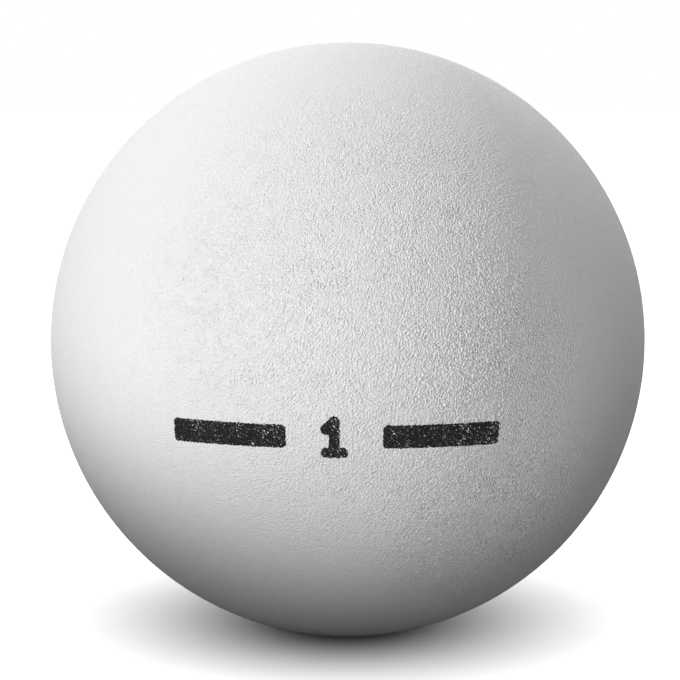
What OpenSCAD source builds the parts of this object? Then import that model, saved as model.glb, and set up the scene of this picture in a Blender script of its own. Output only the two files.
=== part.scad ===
// Soft training ball for tennis: a solid foam core inside a seamless sprayed skin.
// Millimetres, +Z up, origin at the centre of the ball.

/* [Ball] */
// Outside diameter of the finished ball, over the skin
ball_d = 70; // [63:1:90]

/* [Skin] */
// Thickness of the sprayed skin, from the foam to the outside
skin_t = 0.6; // [0.3:0.1:2]

/* [Hidden] */
// The skin is bonded to the foam all over, so the core fills the skin's inside with no gap.
core_d = ball_d - 2 * skin_t;

// Segments of a preview circle
$fn = 128;

// Solid ball of resilient foam, which gives the bounce
module foam_core() {
    color("ivory") sphere(d = core_d);
}

// Closed elastomer coat with no seam, opening or valve
module skin() {
    color("whitesmoke") difference() {
        sphere(d = ball_d);
        sphere(d = core_d);
    }
}

foam_core();
skin();
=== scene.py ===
"""Dresses a foam tennis ball for rendering: a pebbled skin, the foam inside it and a printed number."""
import itertools
import math

import bpy
import numpy as np
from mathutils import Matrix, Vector


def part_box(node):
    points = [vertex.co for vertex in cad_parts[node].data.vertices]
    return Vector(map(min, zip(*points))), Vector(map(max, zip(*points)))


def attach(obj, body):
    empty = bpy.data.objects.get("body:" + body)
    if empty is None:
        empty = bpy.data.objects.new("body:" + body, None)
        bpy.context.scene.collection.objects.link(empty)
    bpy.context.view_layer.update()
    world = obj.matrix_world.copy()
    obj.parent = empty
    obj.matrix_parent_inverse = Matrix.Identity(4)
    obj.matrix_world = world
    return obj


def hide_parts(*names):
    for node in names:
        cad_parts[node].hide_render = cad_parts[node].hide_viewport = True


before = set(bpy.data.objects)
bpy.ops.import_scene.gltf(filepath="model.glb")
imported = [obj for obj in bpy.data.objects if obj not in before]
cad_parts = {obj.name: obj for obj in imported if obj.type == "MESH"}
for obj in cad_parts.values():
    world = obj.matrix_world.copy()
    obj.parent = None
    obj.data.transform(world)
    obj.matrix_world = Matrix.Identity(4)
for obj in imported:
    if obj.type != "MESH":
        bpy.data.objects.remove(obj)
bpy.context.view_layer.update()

MM = 0.001
BODY = "root"
MIDDLE = Vector((0, 0, 0))
DOWN = Vector((0, 0, -1))
WHITE = (1, 1, 1, 1)


def radius_of(node):
    """Radius of a ball-shaped CAD node, in metres."""
    low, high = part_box(node)
    return max(high - low) / 2


BALL_R = radius_of("skin")
CORE_R = radius_of("foam_core")

# Meshes: cells along one edge of the cube that each sphere is made from
SKIN_CELLS = 400
LINING_CELLS = 48
FOAM_CELLS = 150
CUBE_FACES = 6

# Meshes: the four corners of every cell of a grid, in order round the cell
NEAR = slice(None, -1)
FAR = slice(1, None)
CELL_RING = ((NEAR, NEAR), (FAR, NEAR), (FAR, FAR), (NEAR, FAR))

# Bake map: the margin round a face, as a share of its tile, and the share of the map that the lining takes
BAKE_MARGIN = 0.004
LINING_SHARE = 0.14

# Noise: the size of its tables, and a seed for each use
NOISE_TABLE = 512
PATCH_SEED = 1
GRAIN_SEED = 2
FOAM_SEED = 5
INK_SEED = 7
PINHOLE_SEED = 11

# Skin: relief of the sprayed surface, and how its slope is measured
GRAIN_CELL = 0.185 * MM
GRAIN_HEIGHT = 0.095 * MM
PATCH_CELL = 1.8 * MM
PATCH_SHARE = 0.40
SLOPE_STEP = 0.02 * MM
NEAR_POLE = 0.7

# Skin: roughness of the coat where the spray grazed the ball, and what each pass adds where it hit squarely
COAT_CALM = 0.35
COAT_PASSES = (
    # Axis by azimuth and elevation, cosines where the pass begins and where it is full, roughness added
    ((0, 17), 0.55, 0.89, 0.66),
    ((-20, 16), 0.90, 1.0, 0.31),
    ((33, 6), 0.94, 1.0, 0.34),
    ((35, -29), 0.87, 1.0, 1.0),
    ((180, -12.5), 0.15, 0.60, 0.65),
)

# Skin: finer tooth, too small for the mesh
TOOTH_CELL = 0.16 * MM
TOOTH_HEIGHT = 0.05 * MM

# Skin: pinholes left by bubbles in the coat, strewn all over, and larger pits by azimuth and elevation
PINHOLES = 90
PINHOLE_R = (0.10 * MM, 0.22 * MM)
PINHOLE_DEPTH = 0.07 * MM
PINHOLE_REACH = 3
PITS_DEG = ((53.5, 31), (51, 38.5), (3.5, 47), (-26.5, 31), (-33, 9), (-42.5, 13), (-16.5, 34.5))
PIT_R = 0.26 * MM
PIT_DEPTH = 0.09 * MM

# Skin: looks, from the hollows, darkened there as painted shade, to the crests
SKIN_SHADE_SPAN_MM = (-0.08, 0.08)
SKIN_HOLLOW_SHADE = (0.81, 0.81, 0.81, 1)
SKIN_CREST = (0.90, 0.90, 0.90, 1)
SKIN_ROUGHNESS = (0.78, 0.92)
SKIN_SPECULAR = 0.15

# Foam: open pores that show on the core once the skin is off, and the core's gap to the skin
FOAM_PORE_CELL = 0.9 * MM
FOAM_PORE_DEPTH = 0.25 * MM
FOAM_CLEARANCE = 0.02 * MM

# Foam: looks, from the middle of a cell, darkened there as painted shade, to its walls
FOAM_CELLS_PER_METRE = 1100.0
FOAM_CELL_SPAN = (0.1, 0.7)
FOAM_PORE_SHADE = (0.62, 0.58, 0.48, 1)
FOAM_WALL = (0.86, 0.83, 0.74, 1)
FOAM_BUMP_STRENGTH = 0.6
FOAM_BUMP_HEIGHT = 0.2 * MM
FOAM_ROUGHNESS = 0.95

# Print: a numeral between two bars, laid round the front of the ball
PRINT_CENTRE_DEG = (-2.5, -5.8)
PRINT_BOW = 0.045
PRINT_STEP = 0.045 * MM
PRINT_LENGTH = 39.0 * MM
BAR_LENGTH = 14.0 * MM
BAR_HEIGHT = 2.8 * MM
BAR_CORNER = 0.5 * MM
NUMERAL_HEIGHT = 5.0 * MM
NUMERAL_WIDTH = 3.2 * MM
NUMERAL_STROKE = 1.3 * MM

# Print: the film of ink, from the skin's mesh, and the depths of the skin where it is missing or thin
INK_TOP = 0.016 * MM
INK_ROOT = -0.025 * MM
INK_RAGGED = 0.10 * MM
INK_BARE_BELOW = -0.082 * MM
INK_THIN_BELOW = -0.020 * MM

# Print: looks, where the ink is thin and where it is full
INK_THIN = (0.16, 0.16, 0.16, 1)
INK_FULL = (0.006, 0.006, 0.006, 1)
INK_NOISE_PER_METRE = 2600.0
INK_NOISE_DETAIL = 3.0
INK_ROUGHNESS = (0.55, 0.70)
INK_SPECULAR = 0.1

# Materials: the range that a noise texture mostly keeps to
NOISE_SPAN = (0.3, 0.7)

# Camera: the photograph's frame, and where the ball's outline lies in it
IMAGE_PX = 680
OUTLINE_PX = 297.0
CENTRE_PX = (347.75, 339.43)
LENS_MM = 300.0
SENSOR_MM = 36.0
CAMERA_ELEVATION_DEG = 12.5
CLIP_START = 0.01

# Light: the sky, and the surround as it shows
SKY_STRENGTH = 0.02
BACKGROUND_STRENGTH = 1.0

# Light: two soft-edged spots and a panel behind, for the ball alone
LAMP_DISTANCE = 1.2
SPOT_BLEND = 0.46
SPOT_RADIUS = 0.01
KEY_SPOT = dict(azimuth_deg=-56.5, elevation_deg=16.5, beam=0.081, lift=0.0485, power=34.8)
FRONT_SPOT = dict(azimuth_deg=-2, elevation_deg=1, beam=0.0525, lift=0.022, power=23.9)
BACK_DEG = (177, 45)
BACK_SIZE = 2.0
BACK_POWER = 26.4

# Floor: its shade as it shows and as it throws light back, and a panel for it alone
FLOOR_SIZE = 0.7
FLOOR_SEEN = 0.9
FLOOR_BOUNCE = 0.08
WASH_PLACE = Vector((0.0, -0.69, 0.37))
WASH_SIZE = 2.2
WASH_POWER = 37.0


def unit(vectors):
    """Vectors scaled to length one."""
    return vectors / np.linalg.norm(vectors, axis=-1, keepdims=True)


def on_sphere(azimuth_deg, elevation_deg, distance):
    """A point round the ball: azimuth 0 is the print's side, and positive is to its right."""
    turn = math.radians(azimuth_deg)
    rise = math.radians(elevation_deg)
    flat = math.cos(rise)
    return distance * Vector((math.sin(turn) * flat, -math.cos(turn) * flat, math.sin(rise)))


def lattice_noise(points, cell, seed):
    """Gradient noise, about -1 to 1, at points given in the same unit as the size of its cell."""
    rng = np.random.default_rng(seed)
    mixer = rng.permutation(NOISE_TABLE)
    slopes = math.sqrt(3) * unit(rng.normal(size=(NOISE_TABLE, 3))).T
    scaled = points.T / cell
    base = np.floor(scaled).astype(int)
    part = scaled - base
    fade = part ** 3 * (part * (part * 6 - 15) + 10)
    total = np.zeros(len(points))
    for corner in itertools.product((0, 1), repeat=3):
        pick, share, rise = 0, 1.0, 0.0
        for axis, end in enumerate(corner):
            pick = mixer[(base[axis] + end + pick) % NOISE_TABLE]
            share = share * (fade[axis] if end else 1 - fade[axis])
        for axis, end in enumerate(corner):
            rise = rise + (part[axis] - end) * slopes[axis][pick]
        total += share * rise
    return total


def pinhole_depth(directions):
    """Depth of the pinholes and pits at points of the skin, in metres, zero nearly everywhere."""
    rng = np.random.default_rng(PINHOLE_SEED)
    holes = [(unit(rng.normal(size=3)), rng.uniform(*PINHOLE_R), PINHOLE_DEPTH) for _ in range(PINHOLES)]
    holes += [(np.array(on_sphere(*place, distance=1.0)), PIT_R, PIT_DEPTH) for place in PITS_DEG]
    depth = np.zeros(len(directions))
    for centre, radius, deepest in holes:
        near = np.flatnonzero(directions @ centre > math.cos(PINHOLE_REACH * radius / BALL_R))
        away = np.linalg.norm(directions[near] - centre, axis=1) * BALL_R / radius
        depth[near] += deepest * np.exp(-away ** 2)
    return depth


def coat_share(directions):
    """How rough the coat is: about 1 or more round the axis of a pass, and less where the spray grazed."""
    share = np.full(len(directions), COAT_CALM)
    for axis_deg, begins, full, extra in COAT_PASSES:
        square = directions @ np.array(on_sphere(*axis_deg, distance=1.0))
        rise = np.clip((square - begins) / (full - begins), 0, 1)
        share += extra * rise ** 2 * (3 - 2 * rise)
    return share


def skin_relief(directions):
    """Height of the sprayed surface over the true sphere, in metres."""
    points = directions * BALL_R
    patch = 1 + PATCH_SHARE * lattice_noise(points, PATCH_CELL, PATCH_SEED)
    grain = GRAIN_HEIGHT * patch * lattice_noise(points, GRAIN_CELL, GRAIN_SEED)
    return coat_share(directions) * grain - pinhole_depth(directions)


def skin_normals(directions, relief):
    """Normals of the sprayed surface, from the slope of its relief along two tangents."""
    pole = np.where(np.abs(directions[:, 2:]) < NEAR_POLE, (0, 0, 1), (1, 0, 0))
    normals = directions.copy()
    first = unit(np.cross(pole, directions))
    for tangent in (first, np.cross(directions, first)):
        beside = skin_relief(unit(directions + tangent * SLOPE_STEP / BALL_R))
        normals -= tangent * ((beside - relief) / SLOPE_STEP)[:, None]
    return unit(normals)


def foam_relief(directions):
    """Depth of the foam's open pores below the core's surface, in metres, never above it."""
    pores = np.abs(lattice_noise(directions * CORE_R, FOAM_PORE_CELL, FOAM_SEED))
    return FOAM_PORE_DEPTH * (np.minimum(pores, 1) - 1)


def cube_point(line, cells):
    """Where a grid line lies on a cube's face, -1 to 1, so that the lines are even on the sphere."""
    return np.tan((line / cells * 2 - 1) * math.pi / 4)


def grid_line(point, cells):
    """The grid line, with its fraction, at a place on a cube's face: the reverse of cube_point."""
    return (np.arctan(point) * 4 / math.pi + 1) / 2 * cells


def cube_sphere(cells):
    """Unit directions, outward quads and per-corner face places of a sphere made from a gridded cube."""
    steps = np.arange(cells + 1)
    along, across = np.meshgrid(steps, steps, indexing="ij")
    sides = []
    for axis, level in itertools.product(range(3), (0, cells)):
        side = np.empty((cells + 1, cells + 1, 3), int)
        side[..., axis] = level
        side[..., (axis + 1) % 3] = along if level else across
        side[..., (axis + 2) % 3] = across if level else along
        sides.append(side)
    lattice = np.array(sides)
    keys = lattice @ np.array([1, cells + 1, (cells + 1) ** 2])
    _, first, index = np.unique(keys, return_index=True, return_inverse=True)
    index = index.reshape(keys.shape)
    directions = unit(cube_point(lattice.reshape(-1, 3)[first], cells))
    quads = np.stack([index[:, a, b] for a, b in CELL_RING], axis=-1).reshape(-1, 4)
    flat = np.stack([along, across], axis=-1) / cells
    place = np.stack([flat[a, b] for a, b in CELL_RING], axis=-2).reshape(-1, 4, 2)
    return directions, quads, np.tile(place, (CUBE_FACES, 1, 1))


def atlas(place, columns, low, high):
    """Bake coordinates of a cube's faces, laid in rows of tiles between two heights of the map."""
    rows = CUBE_FACES // columns
    face = np.repeat(np.arange(CUBE_FACES), len(place) // CUBE_FACES)
    tile = np.stack([face % columns, face // columns], axis=1)[:, None, :]
    spot = (tile + BAKE_MARGIN + place * (1 - 2 * BAKE_MARGIN)) / (columns, rows)
    return spot * (1, high - low) + (0, low)


def mesh_object(name, points, quads, places=None, normals=None):
    """A smooth mesh object from arrays of points and quads, with bake coordinates and normals if given."""
    mesh = bpy.data.meshes.new(name)
    mesh.vertices.add(len(points))
    mesh.vertices.foreach_set("co", points.astype(np.float32).ravel())
    mesh.loops.add(quads.size)
    mesh.loops.foreach_set("vertex_index", quads.astype(np.int32).ravel())
    mesh.polygons.add(len(quads))
    mesh.polygons.foreach_set("loop_start", np.arange(0, quads.size, 4, dtype=np.int32))
    mesh.update(calc_edges=True)
    mesh.shade_smooth()
    if places is not None:
        layer = mesh.uv_layers.new(name="OFBake")
        layer.data.foreach_set("uv", places.astype(np.float32).ravel())
    if normals is not None:
        mesh.normals_split_custom_set_from_vertices(normals)
    piece = bpy.data.objects.new(name, mesh)
    bpy.context.collection.objects.link(piece)
    return piece


def store(piece, name, values):
    """Keeps one number per vertex on the mesh, for its material to read."""
    layer = piece.data.attributes.new(name, "FLOAT", "POINT")
    layer.data.foreach_set("value", values.astype(np.float32))


def make_skin():
    """The skin as a closed shell: a pebbled outside and a plain lining at the core."""
    out, out_quads, out_place = cube_sphere(SKIN_CELLS)
    lining, in_quads, in_place = cube_sphere(LINING_CELLS)
    relief = skin_relief(out)
    points = np.concatenate([out * (BALL_R + relief)[:, None], lining * CORE_R])
    normals = np.concatenate([skin_normals(out, relief), -lining])
    quads = np.concatenate([out_quads, in_quads[:, ::-1] + len(out)])
    out_map = atlas(out_place, columns=3, low=LINING_SHARE, high=1)
    in_map = atlas(in_place, columns=6, low=0, high=LINING_SHARE)[:, ::-1]
    piece = mesh_object("skin_shell", points, quads, np.concatenate([out_map, in_map]), normals)
    plain = np.zeros(len(lining))
    store(piece, "relief_mm", np.concatenate([relief / MM, plain]))
    store(piece, "coat", np.concatenate([coat_share(out), plain]))
    return piece


def make_foam():
    """The foam core, with open pores, just inside the skin."""
    directions, quads, place = cube_sphere(FOAM_CELLS)
    radius = CORE_R - FOAM_CLEARANCE + foam_relief(directions)
    places = atlas(place, columns=3, low=0, high=1)
    return mesh_object("foam_ball", directions * radius[:, None], quads, places)


def box_distance(u, v, centre, half, corner):
    """Signed distance to a rectangle with rounded corners."""
    du = np.abs(u - centre[0]) - half[0] + corner
    dv = np.abs(v - centre[1]) - half[1] + corner
    outside = np.hypot(np.maximum(du, 0), np.maximum(dv, 0))
    return outside + np.minimum(np.maximum(du, dv), 0) - corner


def stroke_distance(u, v, start, end, width):
    """Signed distance to a straight stroke with round ends."""
    along = np.subtract(end, start)
    share = ((u - start[0]) * along[0] + (v - start[1]) * along[1]) / np.dot(along, along)
    share = np.clip(share, 0, 1)
    return np.hypot(u - start[0] - share * along[0], v - start[1] - share * along[1]) - width / 2


def print_distance(u, v):
    """Signed distance to the printed shapes: a numeral one and a bar on each side of it."""
    bar_u = (PRINT_LENGTH - BAR_LENGTH) / 2
    bar_half = (BAR_LENGTH / 2, BAR_HEIGHT / 2)
    top = NUMERAL_HEIGHT / 2 - NUMERAL_STROKE / 2
    side = NUMERAL_WIDTH / 2 - NUMERAL_STROKE / 2
    shapes = [
        box_distance(u, v, (-bar_u, 0), bar_half, BAR_CORNER),
        box_distance(u, v, (bar_u, 0), bar_half, BAR_CORNER),
        stroke_distance(u, v, (0, -top), (0, top), NUMERAL_STROKE),
        stroke_distance(u, v, (0, top), (-side, top - side), NUMERAL_STROKE),
        stroke_distance(u, v, (-side, -top), (side, -top), NUMERAL_STROKE),
    ]
    return np.minimum.reduce(shapes)


def print_directions(u, v):
    """Unit directions of print coordinates, in metres along and up from the middle of the print."""
    turn, lift = np.radians(PRINT_CENTRE_DEG)
    east = turn + u / BALL_R
    north = lift + v / BALL_R - PRINT_BOW * (u / BALL_R) ** 2
    return np.stack([np.cos(north) * np.sin(east), -np.cos(north) * np.cos(east), np.sin(north)], axis=-1)


def print_grid():
    """A grid of print coordinates that takes in the printed shapes with their ragged edges."""
    half_u = PRINT_LENGTH / 2 + 2 * INK_RAGGED
    half_v = NUMERAL_HEIGHT / 2 + 2 * INK_RAGGED
    along = np.arange(-half_u, half_u, PRINT_STEP)
    up = np.arange(-half_v, half_v, PRINT_STEP)
    return np.meshgrid(along, up, indexing="ij")


def mesh_relief(directions):
    """Height of the skin's mesh at directions on the front of the ball, straight between its points."""
    grid = grid_line(directions[:, [0, 2]] / -directions[:, 1:2], SKIN_CELLS)
    base = np.floor(grid)
    part = grid - base
    total = np.zeros(len(directions))
    for corner in itertools.product((0, 1), repeat=2):
        x, z = cube_point(base + corner, SKIN_CELLS).T
        share = np.prod(np.where(corner, part, 1 - part), axis=1)
        total += share * skin_relief(unit(np.stack([x, -np.ones_like(x), z], axis=1)))
    return total


def inked_cells(inked):
    """Numbers of the grid's points that carry ink, and quads between those points."""
    full = np.logical_and.reduce([inked[a, b] for a, b in CELL_RING])
    number = np.arange(inked.size).reshape(inked.shape)
    quads = np.stack([number[a, b] for a, b in CELL_RING], axis=-1)[full]
    used, quads = np.unique(quads, return_inverse=True)
    return used, quads.reshape(-1, 4)


def film_faces(quads, points):
    """Faces of a closed film with a number of points on each side: its top, its underside and its walls."""
    edges = np.concatenate([quads[:, [i, (i + 1) % 4]] for i in range(4)])
    key = np.sort(edges, axis=1) @ np.array([points, 1])
    _, back, count = np.unique(key, return_inverse=True, return_counts=True)
    rim = edges[count[back] == 1]
    walls = np.stack([rim[:, 1], rim[:, 0], rim[:, 0] + points, rim[:, 1] + points], axis=1)
    return np.concatenate([quads, quads[:, ::-1] + points, walls])


def make_print():
    """The printed number as a thin film of ink, missing in the deepest hollows of the skin."""
    u, v = print_grid()
    directions = print_directions(u.ravel(), v.ravel())
    relief = skin_relief(directions)
    ragged = INK_RAGGED * lattice_noise(directions * BALL_R, GRAIN_CELL, INK_SEED)
    inked = (print_distance(u, v).ravel() < ragged) & (relief > INK_BARE_BELOW)
    used, quads = inked_cells(inked.reshape(u.shape))
    directions = directions[used]
    ground = BALL_R + mesh_relief(directions)
    top = directions * (ground + INK_TOP)[:, None]
    root = directions * (ground + INK_ROOT)[:, None]
    piece = mesh_object("printed_number", np.concatenate([top, root]), film_faces(quads, len(used)))
    store(piece, "relief_mm", np.tile(relief[used], 2) / MM)
    return piece


def connect(tree, node, **sockets):
    """Sets a node's sockets: a number or colour is written in, and an output is joined on."""
    for key, value in sockets.items():
        socket = node.inputs[key.replace("_", " ")]
        if isinstance(value, bpy.types.NodeSocket):
            tree.links.new(value, socket)
        else:
            socket.default_value = value


def add_node(tree, kind, **sockets):
    """A new shader node with its sockets set."""
    node = tree.nodes.new("ShaderNode" + kind)
    connect(tree, node, **sockets)
    return node


def node_material(name):
    """A new node material, with its tree and its shader."""
    material = bpy.data.materials.new(name)
    material.use_nodes = True
    return material, material.node_tree, material.node_tree.nodes["Principled BSDF"]


def ramp(tree, value, span, result=(0.0, 1.0)):
    """A value mapped from one range to another, and held at its ends."""
    node = add_node(tree, "MapRange", Value=value, From_Min=span[0], From_Max=span[1],
                    To_Min=result[0], To_Max=result[1])
    return node.outputs["Result"]


def stored(tree, name):
    """The number that the mesh keeps under a name."""
    node = add_node(tree, "Attribute")
    node.attribute_name = name
    return node.outputs["Fac"]


def skin_material():
    """White sprayed elastomer: matte, with painted shade that darkens its hollows and pinholes, and a fine
    tooth.
    """
    material, tree, shader = node_material("white_skin")
    place = add_node(tree, "TexCoord").outputs["Object"]
    height = ramp(tree, stored(tree, "relief_mm"), SKIN_SHADE_SPAN_MM)
    # Painted shade: the colour is darkest in the deepest hollows and pinholes of the relief and whitest on
    # the crests
    hollow_shade = add_node(tree, "MixRGB", Fac=height, Color1=SKIN_HOLLOW_SHADE, Color2=SKIN_CREST)
    tooth = add_node(tree, "TexNoise", Vector=place, Scale=1 / TOOTH_CELL, Detail=0.0).outputs["Fac"]
    bump = add_node(tree, "Bump", Strength=stored(tree, "coat"), Distance=TOOTH_HEIGHT, Height=tooth)
    roughness = ramp(tree, tooth, NOISE_SPAN, SKIN_ROUGHNESS)
    connect(tree, shader, Base_Color=hollow_shade.outputs["Color"], Roughness=roughness,
            Normal=bump.outputs["Normal"], Specular_IOR_Level=SKIN_SPECULAR)
    return material


def foam_material():
    """Cream foam, with painted shade darkening its pores."""
    material, tree, shader = node_material("cream_foam")
    place = add_node(tree, "TexCoord").outputs["Object"]
    cells = add_node(tree, "TexVoronoi", Vector=place, Scale=FOAM_CELLS_PER_METRE).outputs["Distance"]
    wall = ramp(tree, cells, FOAM_CELL_SPAN)
    # Painted shade: the colour darkens towards the middle of each pore
    tone = add_node(tree, "MixRGB", Fac=wall, Color1=FOAM_PORE_SHADE, Color2=FOAM_WALL)
    bump = add_node(tree, "Bump", Strength=FOAM_BUMP_STRENGTH, Distance=FOAM_BUMP_HEIGHT, Height=cells)
    connect(tree, shader, Base_Color=tone.outputs["Color"], Roughness=FOAM_ROUGHNESS,
            Normal=bump.outputs["Normal"])
    return material


def ink_material():
    """Black printing ink, greyer in the hollows of the skin, where it is thin."""
    material, tree, shader = node_material("black_ink")
    place = add_node(tree, "TexCoord").outputs["Object"]
    full = ramp(tree, stored(tree, "relief_mm"), (INK_BARE_BELOW / MM, INK_THIN_BELOW / MM))
    tone = add_node(tree, "MixRGB", Fac=full, Color1=INK_THIN, Color2=INK_FULL)
    uneven = add_node(tree, "TexNoise", Vector=place, Scale=INK_NOISE_PER_METRE, Detail=INK_NOISE_DETAIL)
    roughness = ramp(tree, uneven.outputs["Fac"], NOISE_SPAN, INK_ROUGHNESS)
    connect(tree, shader, Base_Color=tone.outputs["Color"], Roughness=roughness,
            Specular_IOR_Level=INK_SPECULAR)
    return material


def seen_ray(tree):
    """1 for camera, glossy and transmission rays, which show the background, and 0 for the rest."""
    path = add_node(tree, "LightPath")
    value = path.outputs["Is Camera Ray"]
    for name in ("Is Glossy Ray", "Is Transmission Ray"):
        either = add_node(tree, "Math")
        either.operation = "MAXIMUM"
        tree.links.new(value, either.inputs[0])
        tree.links.new(path.outputs[name], either.inputs[1])
        value = either.outputs[0]
    return value


def seen_level(tree, unseen, seen):
    """One level where a surface or the surround shows, and another where it only throws light."""
    return ramp(tree, seen_ray(tree), (0.0, 1.0), (unseen, seen))


def make_world():
    """A white surround to the eye, and a faint even sky as light."""
    world = bpy.data.worlds.new("studio")
    world.use_nodes = True
    bpy.context.scene.world = world
    tree = world.node_tree
    strength = seen_level(tree, SKY_STRENGTH, BACKGROUND_STRENGTH)
    connect(tree, tree.nodes["Background"], Color=WHITE, Strength=strength)


def make_floor():
    """A pale floor under the ball that shows its shadow and throws little light back."""
    half = FLOOR_SIZE / 2
    z = -BALL_R
    corners = np.array([(-half, -half, z), (half, -half, z), (half, half, z), (-half, half, z)])
    floor = mesh_object("floor", corners, np.array([[0, 1, 2, 3]]))
    material, tree, shader = node_material("pale_floor")
    tree.nodes.remove(shader)
    matte = add_node(tree, "BsdfDiffuse", Color=seen_level(tree, FLOOR_BOUNCE, FLOOR_SEEN))
    connect(tree, tree.nodes["Material Output"], Surface=matte.outputs["BSDF"])
    floor.data.materials.append(material)
    return floor


def place_light(lamp, place, aim, lights):
    """Sets up a lamp, unseen itself, that is turned to a point and lights only the given pieces."""
    holder = bpy.data.objects.new(lamp.name, lamp)
    holder.location = place
    holder.rotation_euler = (aim - place).to_track_quat("-Z", "Y").to_euler()
    holder.visible_camera = False
    lit = bpy.data.collections.new(lamp.name + "_lights")
    for piece in lights:
        lit.objects.link(piece)
    holder.light_linking.receiver_collection = lit
    bpy.context.collection.objects.link(holder)


def add_panel(name, place, aim, size, power, lights):
    """A square soft light turned to a point."""
    lamp = bpy.data.lights.new(name, "AREA")
    lamp.size = size
    lamp.energy = power
    place_light(lamp, place, aim, lights)


def add_spot(name, azimuth_deg, elevation_deg, beam, lift, power, lights):
    """A spot with a soft edge, lifted off the ball's middle so that its light fades towards the floor."""
    lamp = bpy.data.lights.new(name, "SPOT")
    lamp.spot_size = 2 * math.atan(beam / LAMP_DISTANCE)
    lamp.spot_blend = SPOT_BLEND
    lamp.shadow_soft_size = SPOT_RADIUS
    lamp.energy = power
    place = on_sphere(azimuth_deg, elevation_deg, LAMP_DISTANCE)
    place_light(lamp, place, on_sphere(azimuth_deg, elevation_deg + 90, lift), lights)


def make_camera():
    """A long lens a little above the ball, framed as the photograph is."""
    lens_px = LENS_MM / SENSOR_MM * IMAGE_PX
    outline = math.atan(OUTLINE_PX / lens_px)
    camera = bpy.data.cameras.new("camera")
    camera.lens = LENS_MM
    camera.sensor_width = SENSOR_MM
    camera.shift_x = (IMAGE_PX / 2 - CENTRE_PX[0]) / IMAGE_PX
    camera.shift_y = (CENTRE_PX[1] - IMAGE_PX / 2) / IMAGE_PX
    camera.clip_start = CLIP_START
    holder = bpy.data.objects.new("camera", camera)
    holder.location = on_sphere(0, CAMERA_ELEVATION_DEG, BALL_R / math.sin(outline))
    holder.rotation_euler = (-holder.location).to_track_quat("-Z", "Y").to_euler()
    bpy.context.collection.objects.link(holder)
    bpy.context.scene.camera = holder


skin = make_skin()
skin.data.materials.append(skin_material())
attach(skin, BODY)
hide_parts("skin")

foam = make_foam()
foam.data.materials.append(foam_material())
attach(foam, BODY)
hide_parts("foam_core")

number = make_print()
number.data.materials.append(ink_material())
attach(number, BODY)

make_camera()
make_world()
floor = make_floor()
ball = (skin, foam, number)
add_spot("key", lights=ball, **KEY_SPOT)
add_spot("front", lights=ball, **FRONT_SPOT)
add_panel("back", on_sphere(*BACK_DEG, LAMP_DISTANCE), MIDDLE, BACK_SIZE, BACK_POWER, lights=ball)
add_panel("floor_wash", WASH_PLACE, WASH_PLACE + DOWN, WASH_SIZE, WASH_POWER, lights=(floor,))

bpy.context.scene.view_settings.view_transform = "Standard"
bpy.context.scene.cycles.denoising_prefilter = "NONE"
